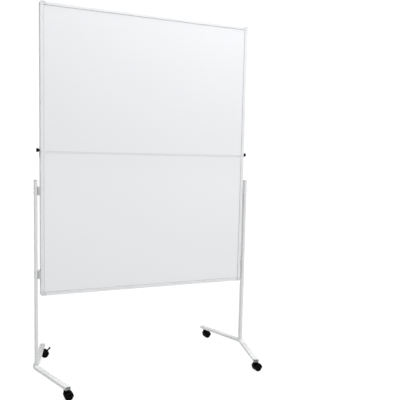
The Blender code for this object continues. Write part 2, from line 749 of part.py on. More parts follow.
def caster(side_name, end_name):
    x, y = caster_place(side_name, end_name)
    label = f"{side_name}_{end_name}"
    braked = end_name in BRAKED
    swivel = empty(f"caster_{label}_swivel", (x, y, 0))
    caster_stem(f"caster_{label}_stem", (x, y, 0))
    caster_housing(f"caster_{label}_housing", swivel, braked)
    for letter, way in (("a", -1), ("b", 1)):
        wheel(f"caster_{label}_wheel_{letter}", swivel, way)
    if braked:
        brake_lever(f"caster_{label}_brake_lever", swivel)


def build():
    fold_axis = empty("fold_axis", (0, HINGE_Y, FOLD_Z))
    board_half("lower", None)
    upper = empty("upper_half", (0, -HINGE_Y, -FOLD_Z), fold_axis)
    board_half("upper", upper)
    for side_name in SIDES:
        hinge(side_name, upper)
        lock_plate(side_name)
        lock_knob(side_name, fold_axis)
        post(side_name)
        for level in BRACKET_CENTRES:
            bracket(side_name, level)
        foot(side_name)
        for end_name in ENDS:
            end_cap(side_name, end_name)
            caster(side_name, end_name)


build()
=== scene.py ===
"""Looks of the folding rolling whiteboard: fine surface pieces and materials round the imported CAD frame.

Metres, in the frame's own axes: +Z up, +X along the board's width, the front writing face towards -Y.
Pieces are placed from their CAD node's box or joint, and each rides on that node's body.
The feet's sweep, length and vertex are the CAD's own dimensions, given again below.
"""

import json
import math

import bmesh
import bpy
from mathutils import Matrix, Vector


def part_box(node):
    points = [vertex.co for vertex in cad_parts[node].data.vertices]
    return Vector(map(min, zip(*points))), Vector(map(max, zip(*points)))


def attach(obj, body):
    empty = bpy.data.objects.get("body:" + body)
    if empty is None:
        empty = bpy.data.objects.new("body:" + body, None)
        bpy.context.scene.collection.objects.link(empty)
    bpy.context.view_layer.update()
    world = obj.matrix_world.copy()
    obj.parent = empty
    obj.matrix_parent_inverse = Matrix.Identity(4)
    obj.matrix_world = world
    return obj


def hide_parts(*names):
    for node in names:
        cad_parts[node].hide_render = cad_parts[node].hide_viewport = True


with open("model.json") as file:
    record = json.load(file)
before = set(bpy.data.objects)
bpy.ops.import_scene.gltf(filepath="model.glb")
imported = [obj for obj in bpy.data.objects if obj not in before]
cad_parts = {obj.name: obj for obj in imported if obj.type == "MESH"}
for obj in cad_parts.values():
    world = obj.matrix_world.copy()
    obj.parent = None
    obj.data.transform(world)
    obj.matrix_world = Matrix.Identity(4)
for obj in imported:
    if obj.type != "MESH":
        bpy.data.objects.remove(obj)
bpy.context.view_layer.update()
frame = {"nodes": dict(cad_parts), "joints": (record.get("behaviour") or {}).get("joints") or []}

SIDES = {"left": -1, "right": 1}
ENDS = {"front": -1, "back": 1}
HALVES = {"lower": "stand", "upper": "upper_board"}
MM = 0.001
X, Y, Z = Vector((1, 0, 0)), Vector((0, 1, 0)), Vector((0, 0, 1))

# Frame rails and corner caps. S runs inwards from the frame's outer edge.
RAIL_FACE = 18 * MM
RAIL_WALL = 1.6 * MM
RAIL_ROUND = 3 * MM
LIP_ROUND = 1 * MM
SIDE_RECESS = 0.5 * MM
SIDE_RECESS_HALF = 7.5 * MM
GROOVE_AT = 13 * MM
GROOVE = 0.6 * MM
CORNER_ROUND = 9 * MM
CORNER_WALL = 1.8 * MM
CAP_ROUND = 1.1 * MM
SEAL_WIDTH = 1.1 * MM
SEAL_RISE = 0.9 * MM
PLUG_GAP = 0.3 * MM
PLUG_DEPTH = 3.6 * MM

# Fold hinges and locks. Knuckles are spans along the pin, from the leaf's middle.
LEAF_THICK = 1.6 * MM
LEAF_CLEAR = 3.7 * MM
KNUCKLE_RADIUS = 3.2 * MM
KNUCKLES = {"upper": ((-3.0, 3.0),), "lower": ((-7.0, -3.3), (3.3, 7.0))}
PIN_RADIUS = 1.5 * MM
PIN_BORE = 1.8 * MM
PIN_HEAD = 2.6 * MM
STUD_RADIUS = 2.6 * MM
STUD_HOLE = 3.2 * MM
KNOB_LOBES = 6
KNOB_SCALLOP = 0.06
LEAF_SCREWS_UP = (0.28, 0.76)
PLATE_SCREW_APART = 7.2 * MM
PLATE_SCREW_UP = 7 * MM

# Stand. The feet are bent tube, swept inwards from a vertex beside the post.
TUBE_WALL = 1.5 * MM
POST_ROUND = 3.5 * MM
FOOT_ROUND = 2.8 * MM
FOOT_SWEEP = math.radians(16.4)
FOOT_VERTEX_X = 627 * MM
FOOT_ARM = 345 * MM
FOOT_BEND = 60 * MM
FOOT_WIDTH = 28 * MM
JOINT_GAP = 0.3 * MM
POST_PLUG = 12 * MM
FOOT_PLUG = 10 * MM
FOOT_CAP_THICK = 3 * MM
BRACKET_SLANT = 9 * MM
BRACKET_EDGE = 0.9 * MM
BRACKET_BOLTS_UP = (0.26, 0.74)
WELD = 2.2 * MM

# Castors. Local X is the way they trail from the swivel. Angles are degrees round the axle.
TRAIL = 14 * MM
AXLE_HEIGHT = 21 * MM
HOOD_HALF = 21 * MM
HOOD_RADIUS = 24.6 * MM
HOOD_ENDS = (-8, 172)
HOOD_INSIDE = 22 * MM
HOOD_EDGE = 22.7 * MM
WEB_HALF = 4.6 * MM
WEB_RADIUS = 22.6 * MM
WEB_UNDER = (12 * MM, 180, 344)
NECK_HALF = 9 * MM
NECK_TOP = 46 * MM
BOSS_RADIUS = 9.5 * MM
BOSS_ENDS = (42.2 * MM, 55.8 * MM)
AXLE_RADIUS = 3 * MM
AXLE_HALF = 18.5 * MM
SOCKET_RADIUS = 4.4 * MM
SOCKET_FOOT = 49.1 * MM
LEVER_ANGLE = math.radians(45)
LEVER_LENGTH = 22 * MM
LEVER_HALF = 4.6 * MM
LEVER_HUB = 3.2 * MM
LEVER_SLOT = ((24.5 * MM, -5.5 * MM, 28 * MM), (45 * MM, 5.5 * MM, 50 * MM))
LEVER_EARS = ((-8.6 * MM, -5.8 * MM), (5.8 * MM, 8.6 * MM))
LEVER_EAR_RADIUS = 3.4 * MM
LEVER_PIN = 1.5 * MM
LEVER_PIN_HALF = 7 * MM
LEVER_BORE = 1.9 * MM
PEDAL_LENGTH = 12 * MM
PEDAL_WIDTH = 15 * MM
PEDAL_HALF_THICK = 2.7 * MM
ARM_HALF_THICK = 2.4 * MM

# Studio. The backdrop shows brighter than it lights. Lights are place, target, size and watts.
# The floor's glow grows from its first strength to its second over the reach, in metres from the middle.
SKY_SHOWN = 1.05
SKY_LIGHT = 0.10
FLOOR_RADIUS = 60
FLOOR_TONE = 0.12
FLOOR_GLOW = (0.92, 1.04)
FLOOR_GLOW_REACH = (1.5, 8.0)
KEY_LIGHT = ((1.5, -2.0, 5.0), (0, 0, 1.3), (2.4, 2.0), 151)
TOP_LIGHT = ((0, 0.2, 12.0), (0, 0.2, 0), (6.0, 6.0), 1160)
CAMERA_AT = (-1.1040, -2.8394, 1.1671)
CAMERA_YAW, CAMERA_PITCH, CAMERA_ROLL = 23.05, 5.468, 1.039
CAMERA_LENS = 49.09
CAMERA_SHIFT = (0.087, 0.032)


# ---------------------------------------------------------------- materials


def wire(tree, socket, value):
    """A link from another node's socket, or a constant."""
    if isinstance(value, bpy.types.NodeSocket):
        tree.links.new(value, socket)
    else:
        socket.default_value = value


def add_node(tree, kind, inputs, **settings):
    """A shader node with its settings made and its inputs wired."""
    made = tree.nodes.new("ShaderNode" + kind)
    for key, value in settings.items():
        setattr(made, key, value)
    for key, value in inputs.items():
        wire(tree, made.inputs[key], value)
    return made


def new_material(name, metallic=0.0, coat=0.0, specular=0.5):
    """A material, with its node tree and its shader."""
    made = bpy.data.materials.new(name)
    made.use_nodes = True
    shader = made.node_tree.nodes["Principled BSDF"]
    shader.inputs["Metallic"].default_value = metallic
    shader.inputs["Coat Weight"].default_value = coat
    shader.inputs["Specular IOR Level"].default_value = specular
    shader.inputs["Coat Roughness"].default_value = 0.08
    return made, made.node_tree, shader


def noise(tree, scale, stretch=(1, 1, 1), detail=3.0):
    """Noise over the piece's own coordinates: scale is in features to a metre."""
    place = add_node(tree, "TexCoord", {}).outputs["Object"]
    laid = add_node(tree, "Mapping", {"Vector": place, "Scale": stretch}).outputs["Vector"]
    made = add_node(tree, "TexNoise", {"Vector": laid, "Scale": scale, "Detail": detail})
    return made.outputs["Fac"]


def spread(tree, value, low, high, start=0.3, end=0.7):
    """The value's middle range, stretched from low to high."""
    inputs = {"Value": value, "From Min": start, "From Max": end, "To Min": low, "To Max": high}
    return add_node(tree, "MapRange", inputs).outputs["Result"]


def blend_colour(tree, factor, first, second):
    """A colour between two, each of them a socket or three channels."""
    mix = tree.nodes.new("ShaderNodeMix")
    mix.data_type = "RGBA"
    wire(tree, mix.inputs["Factor"], factor)
    for socket, colour in ((mix.inputs[6], first), (mix.inputs[7], second)):
        wire(tree, socket, colour if isinstance(colour, bpy.types.NodeSocket) else (*colour, 1.0))
    return mix.outputs[2]


def shade(base, factor):
    """The colour made darker or lighter by a factor."""
    return tuple(channel * factor for channel in base)


def add_bump(tree, shader, height, distance, strength):
    """Relief from a height between 0 and 1, as deep as the distance in metres."""
    inputs = {"Height": height, "Distance": distance, "Strength": strength}
    wire(tree, shader.inputs["Normal"], add_node(tree, "Bump", inputs).outputs["Normal"])


def writing_surface():
    """Lacquered steel: faint wiping haze, a few dull streaks where pens were rubbed off, and orange peel."""
    made, tree, shader = new_material("writing_lacquer", coat=0.5)
    haze = spread(tree, noise(tree, 2.2, (1, 1, 0.6), 4.0), 0.0, 1.0)
    streaks = spread(tree, noise(tree, 9.0, (0.35, 1, 2.4), 5.0), 0.0, 1.0, 0.55, 0.75)
    clean = blend_colour(tree, haze, (0.886, 0.898, 0.918), (0.892, 0.904, 0.923))
    colour = blend_colour(tree, streaks, clean, (0.887, 0.899, 0.919))
    wire(tree, shader.inputs["Base Color"], colour)
    rubbed = add_node(tree, "Math", {0: haze, 1: streaks}, operation="ADD").outputs[0]
    wire(tree, shader.inputs["Roughness"], spread(tree, rubbed, 0.28, 0.295, 0.0, 2.0))
    add_bump(tree, shader, noise(tree, 420.0), 0.00004, 0.35)
    return made


def aluminium(name, axis, painted_shade_factor=1.0):
    """Anodised extrusion: fine lines drawn along the rail, with slow changes in sheen. A factor below 1
    darkens every colour of it as painted shade.
    """
    made, tree, shader = new_material(name, metallic=0.12, specular=0.2)
    along = (1, 260, 260) if axis == "x" else (260, 260, 1)
    lines = noise(tree, 5.0, along, 2.0)
    handled = noise(tree, 14.0, detail=4.0)
    # A factor below 1 darkens these colours: painted shade for the fold trims.
    dark, light = shade((0.84, 0.848, 0.86), painted_shade_factor), shade((0.89, 0.898, 0.91), painted_shade_factor)
    colour = blend_colour(tree, spread(tree, lines, 0, 1), dark, light)
    worn = shade((0.79, 0.80, 0.81), painted_shade_factor)
    aged = blend_colour(tree, spread(tree, handled, 0, 0.5, 0.5, 0.8), colour, worn)
    wire(tree, shader.inputs["Base Color"], aged)
    wire(tree, shader.inputs["Roughness"], spread(tree, handled, 0.50, 0.60))
    add_bump(tree, shader, lines, 0.000006, 0.2)
    return made


def stand_paint():
    """Silver-grey powder coat: fine texture, tiny bright flakes, and dull rubbing."""
    made, tree, shader = new_material("powder_coat", metallic=0.1, specular=0.22)
    flakes = spread(tree, noise(tree, 2600.0, detail=1.0), 0.0, 1.0, 0.62, 0.70)
    rubbed = noise(tree, 11.0, detail=5.0)
    base = blend_colour(tree, spread(tree, rubbed, 0, 1), (0.78, 0.785, 0.79), (0.83, 0.835, 0.84))
    wire(tree, shader.inputs["Base Color"], blend_colour(tree, flakes, base, (0.93, 0.935, 0.94)))
    wire(tree, shader.inputs["Roughness"], spread(tree, rubbed, 0.38, 0.52))
    add_bump(tree, shader, noise(tree, 1500.0, detail=2.0), 0.00012, 0.45)
    return made


def moulded(name, base, roughness, specular=0.5):
    """Moulded plastic with a fine spark-eroded grain and slightly paler handling marks."""
    made, tree, shader = new_material(name, specular=specular)
    marks = noise(tree, 60.0, detail=5.0)
    worn = tuple(min(1.0, channel * 1.25 + 0.002) for channel in base)
    wire(tree, shader.inputs["Base Color"], blend_colour(tree, spread(tree, marks, 0, 1), base, worn))
    wire(tree, shader.inputs["Roughness"], spread(tree, marks, roughness - 0.05, roughness + 0.09))
    add_bump(tree, shader, noise(tree, 3000.0, detail=2.0), 0.00008, 0.5)
    return made


def tread():
    """Tyre plastic: dull, with dust and scuffs that come off the floor."""
    made, tree, shader = new_material("tyre_tread", specular=0.1)
    dust = spread(tree, noise(tree, 130.0, detail=6.0), 0.0, 1.0, 0.5, 0.8)
    colour = blend_colour(tree, dust, (0.004, 0.004, 0.0043), (0.022, 0.021, 0.020))
    wire(tree, shader.inputs["Base Color"], colour)
    wire(tree, shader.inputs["Roughness"], spread(tree, dust, 0.50, 0.80, 0.0, 1.0))
    add_bump(tree, shader, noise(tree, 900.0, detail=3.0), 0.0001, 0.5)
    return made


def zinc():
    """Zinc-plated steel: bright, with the blotchy sheen of the plating and fine rolling lines."""
    made, tree, shader = new_material("zinc_plate", metallic=1.0)
    blotches = noise(tree, 160.0, detail=3.0)
    colour = blend_colour(tree, spread(tree, blotches, 0, 1), (0.60, 0.61, 0.63), (0.72, 0.72, 0.71))
    wire(tree, shader.inputs["Base Color"], colour)
    wire(tree, shader.inputs["Roughness"], spread(tree, blotches, 0.26, 0.42))
    add_bump(tree, shader, noise(tree, 40.0, (1, 1, 60), 2.0), 0.00003, 0.4)
    return made


def cardboard():
    """Brown board with fibres, where a core's edge shows."""
    made, tree, shader = new_material("core_board")
    fibres = noise(tree, 300.0, (1, 1, 6), 5.0)
    colour = blend_colour(tree, fibres, (0.48, 0.36, 0.24), (0.66, 0.53, 0.38))
    wire(tree, shader.inputs["Base Color"], colour)
    wire(tree, shader.inputs["Roughness"], spread(tree, fibres, 0.80, 0.95))
    add_bump(tree, shader, fibres, 0.0002, 0.6)
    return made


MATERIALS = {
    "writing_surface": writing_surface(),
    "aluminium_x": aluminium("anodised_x", "x"),
    "aluminium_z": aluminium("anodised_z", "z"),
    # The fold trims' aluminium is darker by a factor: painted shade for the dark line along the fold.
    "aluminium_fold_painted_shade": aluminium("anodised_fold_painted_shade", "x", 0.90),
    "stand_paint": stand_paint(),
    "corner_plastic": moulded("corner_grey", (0.66, 0.665, 0.67), 0.46),
    "bracket_plastic": moulded("bracket_grey", (0.50, 0.505, 0.51), 0.44),
    "end_plastic": moulded("end_grey", (0.20, 0.205, 0.21), 0.48),
    "black_plastic": moulded("black_nylon", (0.002, 0.002, 0.0022), 0.52, 0.06),
    # The beads' dark grey is painted shade for the shadow line at the frame's inner edge.
    "painted_shade_seal": moulded("painted_shade_seal_grey", (0.30, 0.305, 0.31), 0.60),
    "wheel_plastic": tread(),
    "zinc_steel": zinc(),
    "panel_core": cardboard(),
}


# ---------------------------------------------------------------- mesh helpers


def loft(loops, closed=False):
    """A skin over loops with the same number of points. Open lofts get a face at each end."""
    bm = bmesh.new()
    rows = [[bm.verts.new(point) for point in loop] for loop in loops]
    pairs = list(zip(rows, rows[1:]))
    if closed:
        pairs.append((rows[-1], rows[0]))
    count = len(rows[0])
    for first, second in pairs:
        for i in range(count):
            j = (i + 1) % count
            bm.faces.new((first[i], first[j], second[j], second[i]))
    if not closed:
        bm.faces.new(rows[0][::-1])
        bm.faces.new(rows[-1])
    bmesh.ops.recalc_face_normals(bm, faces=bm.faces)
    return bm


def laid(points, origin, u, v):
    """A flat outline put into space along two directions."""
    return [Vector(origin) + u * a + v * b for a, b in points]


def prism(points, origin, u, v, along):
    """A flat outline drawn out along a vector."""
    return loft([laid(points, origin, u, v), laid(points, Vector(origin) + along, u, v)])


def rounded(width, height, radius, inset=0.0, steps=7):
    """A rounded rectangle round the origin. An inset moves every edge inwards."""
    radius = max(radius - inset, 0.15 * MM)
    half_a = width / 2 - inset - radius
    half_b = height / 2 - inset - radius
    points = []
    for quarter, (a, b) in enumerate(((1, 1), (-1, 1), (-1, -1), (1, -1))):
        for i in range(steps + 1):
            angle = math.radians(90 * (quarter + i / steps))
            points.append((a * half_a + radius * math.cos(angle), b * half_b + radius * math.sin(angle)))
    return points


def arc(centre, radius, start, end, steps):
    """Points on an arc, angles in degrees."""
    angles = [math.radians(start + (end - start) * i / steps) for i in range(steps + 1)]
    return [(centre[0] + radius * math.cos(a), centre[1] + radius * math.sin(a)) for a in angles]


def millimetres(points):
    """Pairs given in millimetres, as metres."""
    return [(a * MM, b * MM) for a, b in points]


def fillet(points, radii, steps=6):
    """The outline with each corner of a radius above 0 turned into an arc."""
    outline = []
    for i, (corner, radius) in enumerate(zip(points, radii)):
        corner = Vector(corner)
        if radius == 0:
            outline.append(tuple(corner))
            continue
        before = (Vector(points[i - 1]) - corner).normalized()
        after = (Vector(points[(i + 1) % len(points)]) - corner).normalized()
        half = before.angle(after) / 2
        centre = corner + (before + after).normalized() * radius / math.sin(half)
        start = corner + before * radius / math.tan(half) - centre
        sweep = start.angle_signed(corner + after * radius / math.tan(half) - centre)
        for step in range(steps + 1):
            spoke = start.copy()
            spoke.rotate(Matrix.Rotation(-sweep * step / steps, 2))
            outline.append(tuple(centre + spoke))
    return outline


def lathe(profile, origin, axis, count=64, closed=False, shape=None):
    """(radius, along) points turned about an axis. shape(i, angle) may change a point's pair."""
    axis = Vector(axis)
    side = X if abs(axis.dot(X)) < 0.5 else Y
    across = axis.cross(side).normalized()
    loops = []
    for i, pair in enumerate(profile):
        loop = []
        for step in range(count):
            angle = 2 * math.pi * step / count
            radius, along = shape(i, angle) if shape else pair
            spoke = side * math.cos(angle) + across * math.sin(angle)
            loop.append(Vector(origin) + spoke * radius + axis * along)
        loops.append(loop)
    return loft(loops, closed)


def rod(origin, axis, radius, start, end, count=40, chamfer=0.0):
    """A round bar along an axis, with chamfered ends."""
    profile = [
        (radius - chamfer, start),
        (radius, start + chamfer),
        (radius, end - chamfer),
        (radius - chamfer, end),
    ]
    return lathe(profile if chamfer else [(radius, start), (radius, end)], origin, axis, count)


def block(low, high):
    """A box between two corners."""
    bm = bmesh.new()
    low, high = Vector(low), Vector(high)
    bmesh.ops.create_cube(bm, size=1.0)
    bmesh.ops.scale(bm, vec=high - low, verts=bm.verts)
    bmesh.ops.translate(bm, vec=(high + low) / 2, verts=bm.verts)
    return bm


def object_from(name, bm):
    """A new object in the scene, made from a bmesh that is then freed."""
    mesh = bpy.data.meshes.new(name)
    bm.to_mesh(mesh)
    bm.free()
    made = bpy.data.objects.new(name, mesh)
    bpy.context.scene.collection.objects.link(made)
    return made


def evaluated_mesh(obj):
    """The object's mesh with its modifiers applied."""
    graph = bpy.context.evaluated_depsgraph_get()
    return bpy.data.meshes.new_from_object(obj.evaluated_get(graph))


def carve(bm, joined=(), cut=()):
    """The mesh with others joined to it, and then others cut from it, as a new bmesh."""
    base = object_from("carve_base", bm)
    tools = []
    for operation, group in (("UNION", joined), ("DIFFERENCE", cut)):
        for tool_bm in group:
            tool = object_from("carve_tool", tool_bm)
            step = base.modifiers.new(operation.title(), "BOOLEAN")
            step.operation = operation
            step.solver = "EXACT"
            step.object = tool
            tools.append(tool)
    mesh = evaluated_mesh(base)
    for obj in (base, *tools):
        bpy.data.objects.remove(obj, do_unlink=True)
    made = bmesh.new()
    made.from_mesh(mesh)
    bpy.data.meshes.remove(mesh)
    return made


def shared_mesh(bm):
    """The mesh of a bmesh that several pieces share."""
    mesh = bpy.data.meshes.new("shared")
    bm.to_mesh(mesh)
    bm.free()
    return mesh


def soften(obj, width, segments=3, angle=40):
    """Rounded edges whose neighbours stay flat in shading."""
    step = obj.modifiers.new("Soften", "BEVEL")
    step.width = width
    step.segments = segments
    step.limit_method = "ANGLE"
    step.angle_limit = math.radians(angle)
    step.harden_normals = True


def keep_flat(obj):
    """Normals weighted by face size, so that flat faces beside small rounds stay flat in shading."""
    step = obj.modifiers.new("Keep flat", "WEIGHTED_NORMAL")
    step.keep_sharp = True


def dress(obj, look, body, replaced=(), sharp=32):
    """Smooth shading, a material, and the body that the piece rides on."""
    mesh = obj.data
    mesh.materials.clear()
    mesh.materials.append(MATERIALS[look])
    mesh.polygons.foreach_set("use_smooth", [True] * len(mesh.polygons))
    mesh.set_sharp_from_angle(angle=math.radians(sharp))
    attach(obj, body)
    if replaced:
        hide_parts(*replaced)
    return obj


def piece(name, bm, look, body, replaced=(), edge=0.0):
    """A piece in its own place. An edge width rounds its edges."""
    made = object_from(name, bm)
    dress(made, look, body, replaced)
    if edge:
        soften(made, edge)
    else:
        keep_flat(made)
    return made


def copy_piece(name, mesh, place, look, body, replaced=()):
    """Another piece of a mesh that several pieces share, put at its own place."""
    made = bpy.data.objects.new(name, mesh)
    bpy.context.scene.collection.objects.link(made)
    made.matrix_world = place
    keep_flat(made)
    return dress(made, look, body, replaced)


def pose_to(origin, axis):
    """The placement that turns local +Z to the axis and puts the origin there."""
    turn = Vector(axis).to_track_quat("Z", "Y").to_matrix().to_4x4()
    return Matrix.Translation(Vector(origin)) @ turn


def middle(node):
    """The middle of a CAD node's box."""
    low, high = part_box(node)
    return (low + high) / 2


def joint_place(name):
    """A point on a joint's axis."""
    return next(Vector(j["pos_m"]) for j in frame["joints"] if j["name"] == name)


# ---------------------------------------------------------------- screws and bolts


def fastener(radius, height, recess):
    """A low domed head on local Z = 0, with a cross or a hexagon sunk into it."""
    rim = 0.12
    dome = [(radius, 0.0), (radius, rim * height)]
    for degrees in (15, 30, 45, 60, 75, 86):
        angle = math.radians(degrees)
        dome.append((radius * math.cos(angle), height * (rim + (1 - rim) * math.sin(angle))))
    head = lathe(dome, (0, 0, 0), Z, 32)
    deep, above = 0.45 * height, 2 * height
    if recess == "hex":
        across = 0.45 * radius
        tools = [lathe([(across, deep), (across, above)], (0, 0, 0), Z, 6)]
    else:
        long, thin = 0.58 * radius, 0.13 * radius
        tools = [
            block((-long, -thin, deep), (long, thin, above)),
            block((-thin, -long, deep), (thin, long, above)),
        ]
    return shared_mesh(carve(head, cut=tools))


# ---------------------------------------------------------------- the two halves of the board


def rail_half_outline(facing, half_depth, channel):
    """One half of a rail's section, from the middle of its outer face round to the inside of its lip."""
    points = [
        (SIDE_RECESS, 0.0),
        (SIDE_RECESS, SIDE_RECESS_HALF - SIDE_RECESS),
        (0.0, SIDE_RECESS_HALF),
    ]
    points += arc((RAIL_ROUND, half_depth - RAIL_ROUND), RAIL_ROUND, 180, 90, 6)
    points += [
        (GROOVE_AT - GROOVE, half_depth),
        (GROOVE_AT, half_depth - GROOVE),
        (GROOVE_AT + GROOVE, half_depth),
    ]
    points += arc((RAIL_FACE - LIP_ROUND, half_depth - LIP_ROUND), LIP_ROUND, 90, 0, 4)
    points += [(RAIL_FACE, channel), (RAIL_WALL, channel)]
    return [(s, facing * depth) for s, depth in points]


def rail_outline():
    """A rail's whole section: open on its inner side, where the sheets and the core sit."""
    low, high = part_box("lower_left_rail")
    half_depth = (high.y - low.y) / 2
    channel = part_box("lower_sheet_back")[0].y
    front = rail_half_outline(-1, half_depth, channel)
    back = rail_half_outline(1, half_depth, channel)
    return front + back[:0:-1]


def rails():
    """Side rails of both halves, the upper ones bored for the knobs' studs, and the top and bottom rails."""
    outline = rail_outline()
    for half, body in HALVES.items():
        for side_name, side in SIDES.items():
            node = f"{half}_{side_name}_rail"
            low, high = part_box(node)
            outer = Vector((low.x if side < 0 else high.x, 0, low.z))
            bm = prism(outline, outer, X * -side, Y, Z * (high.z - low.z))
            if half == "upper":
                hole_at = joint_place(f"lock_knob_{side_name}_turn")
                bm = carve(bm, cut=[rod(hole_at, X, STUD_HOLE, -3 * MM, 3 * MM)])
            piece(f"{node}_extrusion", bm, "aluminium_z", body, [node])
    flat_rails = (("upper_top_rail", "upper_board", -1), ("lower_bottom_rail", "stand", 1))
    for node, body, way in flat_rails:
        low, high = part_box(node)
        outer = Vector((low.x, 0, high.z if way < 0 else low.z))
        bm = prism(outline, outer, Z * way, Y, X * (high.x - low.x))
        piece(f"{node}_extrusion", bm, "aluminium_x", body, [node])


def corner_cap(low, high, side, way):
    """An L with a rounded outer corner, hollow inside as deep as the rails' channels."""
    corner = Vector((low.x if side < 0 else high.x, low.y, high.z if way < 0 else low.z))
    across, up = X * -side, Z * way
    width, height = high.x - low.x, high.z - low.z
    points = [
        (0, 0),
        (width, 0),
        (width, RAIL_FACE),
        (RAIL_FACE, RAIL_FACE),
        (RAIL_FACE, height),
        (0, height),
    ]
    outline = fillet(points, [CORNER_ROUND, 0, 0, LIP_ROUND, 0, 0], 10)
    solid = prism(outline, corner, across, up, Y * (high.y - low.y))
    wall, reach = CORNER_WALL, 2 * width
    square = [(wall, wall), (reach, wall), (reach, reach), (wall, reach)]
    hollow = fillet(square, [CORNER_ROUND - wall, 0, 0, 0], 10)
    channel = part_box("lower_sheet_back")[0].y
    pocket_at = Vector((corner.x, -channel, corner.z))
    pocket = prism(hollow, pocket_at, across, up, Y * 2 * channel)
    screw_at = corner + (across + up) * 0.5 * RAIL_FACE
    screw_at.y = high.y - 0.2 * MM
    return carve(solid, cut=[pocket]), screw_at


def corner_caps(screw):
    """A cap on each outer corner of the board, with a screw in its back."""
    for half, body in HALVES.items():
        way = -1 if half == "upper" else 1
        for side_name, side in SIDES.items():
            node = f"{half}_corner_{side_name}"
            bm, screw_at = corner_cap(*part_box(node), side, way)
            piece(f"{node}_cap", bm, "corner_plastic", body, [node], edge=CAP_ROUND)
            copy_piece(f"{node}_screw", screw, pose_to(screw_at, Y), "zinc_steel", body)


def painted_shade_seals():
    """A thin bead between each sheet and the frame's lip, on three sides of each half. Its dark grey is
    painted shade, for the shadow line that the lip casts on the sheet.
    """
    profile = [
        (0, 0),
        (0, SEAL_RISE * 0.7),
        (SEAL_WIDTH * 0.3, SEAL_RISE),
        (SEAL_WIDTH * 0.7, SEAL_RISE),
        (SEAL_WIDTH, SEAL_RISE * 0.7),
        (SEAL_WIDTH, 0),
    ]
    lip, clear = 0.2 * MM, 0.02 * MM
    for half, body in HALVES.items():
        way = -1 if half == "upper" else 1
        for face, facing in ENDS.items():
            low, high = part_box(f"{half}_sheet_{face}")
            surface = low.y if facing < 0 else high.y
            edge_z = (high.z if way < 0 else low.z) - way * lip
            fold_z = low.z if way < 0 else high.z
            loops = []
            for x_sign, z_end in ((-1, fold_z), (-1, None), (1, None), (1, fold_z)):
                loop = []
                for inwards, out in profile:
                    x = x_sign * (high.x + lip - inwards)
                    z = edge_z + way * inwards if z_end is None else z_end
                    loop.append(Vector((x, surface + facing * (out + clear), z)))
                loops.append(loop)
            # The bead's dark grey stands in for the lip's shadow: painted shade.
            piece(f"{half}_{face}_seal", loft(loops), "painted_shade_seal", body)


def rail_plugs():
    """Flush plugs in the side rails' open ends at the fold."""
    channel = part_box("lower_sheet_back")[0].y - PLUG_GAP
    for half, body in HALVES.items():
        way = -1 if half == "upper" else 1
        for side_name, side in SIDES.items():
            low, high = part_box(f"{half}_{side_name}_rail")
            fold = high.z if way > 0 else low.z
            inner, outer = (high.x, low.x) if side < 0 else (low.x, high.x)
            xs = sorted((inner + side * PLUG_GAP, outer - side * (RAIL_WALL + 0.2 * MM)))
            zs = sorted((fold - way * PLUG_GAP, fold - way * PLUG_DEPTH))
            bm = block((xs[0], -channel, zs[0]), (xs[1], channel, zs[1]))
            piece(f"{half}_{side_name}_rail_plug", bm, "end_plastic", body, edge=0.4 * MM)


def board_materials():
    """The CAD nodes that stay: sheets, cores and fold trims."""
    for half in HALVES:
        for face in ENDS:
            set_material(f"{half}_sheet_{face}", "writing_surface")
        set_material(f"{half}_core", "panel_core")
        # Darker aluminium on the fold trims: painted shade for the fold line.
        set_material(f"{half}_fold_trim", "aluminium_fold_painted_shade")


def set_material(node, look):
    """A look for a CAD node that stays visible."""
    for holder in frame["nodes"][node].material_slots:
        holder.material = MATERIALS[look]


# ---------------------------------------------------------------- fold hinges and fold locks


def hinge_leaf(node, half, screw, body, axis_y, fold_z):
    """A leaf with its knuckles, bored for the pin, and its two screws."""
    low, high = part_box(node)
    way = 1 if half == "upper" else -1
    centre_x = (low.x + high.x) / 2
    height = max(abs(low.z - fold_z), abs(high.z - fold_z)) - LEAF_CLEAR
    centre = Vector((centre_x, low.y, fold_z + way * (LEAF_CLEAR + height / 2)))
    plate = prism(rounded(high.x - low.x, height, 2 * MM), centre, X, Z, Y * LEAF_THICK)
    at = Vector((centre_x, axis_y, fold_z))
    neck = sorted((fold_z, fold_z + way * (LEAF_CLEAR + 3 * MM)))
    parts = []
    for span in KNUCKLES[half]:
        start, end = (reach * MM for reach in span)
        parts.append(rod(at, X, KNUCKLE_RADIUS, start, end, 48, 0.25 * MM))
        near = (centre_x + start, low.y, neck[0])
        far = (centre_x + end, low.y + LEAF_THICK, neck[1])
        parts.append(block(near, far))
    bore = rod(at, X, PIN_BORE, -12 * MM, 12 * MM, 32)
    piece(f"{node}_plate", carve(plate, joined=parts, cut=[bore]), "zinc_steel", body, [node])
    for i, share in enumerate(LEAF_SCREWS_UP):
        up = fold_z + way * (LEAF_CLEAR + share * height)
        head = Vector((centre_x, low.y + LEAF_THICK - 0.1 * MM, up))
        copy_piece(f"{node}_screw_{i}", screw, pose_to(head, Y), "zinc_steel", body)


def hinge_pin(node, side, axis_y, fold_z):
    """A pin with a head at its inner end."""
    low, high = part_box(node)
    at = Vector((0, axis_y, fold_z))
    shank = rod(at, X, PIN_RADIUS, low.x, high.x, 32, 0.4 * MM)
    head_x = high.x if side < 0 else low.x
    start, end = sorted((head_x, head_x + side * 1.0 * MM))
    head = rod(at, X, PIN_HEAD, start, end, 32, 0.3 * MM)
    piece(f"{node}_rod", carve(shank, joined=[head]), "zinc_steel", "stand", [node])


def hinges(screw):
    """Two hinges on the back, each with a leaf on both halves and a pin."""
    axis_y, fold_z = joint_place("fold").yz
    for side_name, side in SIDES.items():
        for half, body in HALVES.items():
            hinge_leaf(f"hinge_{side_name}_{half}_leaf", half, screw, body, axis_y, fold_z)
        hinge_pin(f"hinge_{side_name}_pin", side, axis_y, fold_z)


